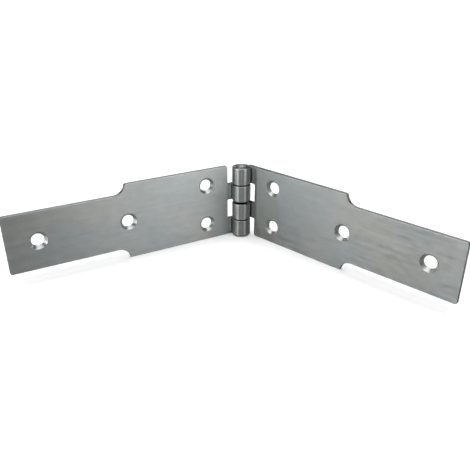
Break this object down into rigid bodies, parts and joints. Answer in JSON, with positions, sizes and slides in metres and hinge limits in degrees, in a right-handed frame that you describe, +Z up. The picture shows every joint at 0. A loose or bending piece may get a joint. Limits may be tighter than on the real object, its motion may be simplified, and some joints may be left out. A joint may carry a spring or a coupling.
{
  "type": "strap hinge",
  "caption": "Flat steel strap hinge: stepped leaves with countersunk screw holes and rolled knuckles that interleave on a fixed pin. It folds shut, opens flat and swings back past flat.",
  "frame": {"origin": "on the plane of the fixed leaf's back face, straight behind the pin's axis, at mid height", "axes": "+Z up along the pin, +Y out of the fixed leaf's back face, and the fixed leaf runs along -X from the pin"},
  "size_m": [0.1655, 0.1241, 0.041],
  "materials": {
    "leaf_steel": "bright zinc-plated, fine rolling lines",
    "pin_steel": "bright zinc-plated"
  },
  "bodies": {
    "fixed_side": {"fixed_leaf": "leaf_steel", "hinge_pin": "pin_steel"},
    "moving_side": {"moving_leaf": "leaf_steel"}
  },
  "joints": [
    {"name": "leaf_swing", "type": "hinge", "parent": "fixed_side", "child": "moving_side", "pos_m": [0, -0.0052, 0], "axis": [0, 0, 1], "range_deg": [-106.5, 173.5]}
  ]
}
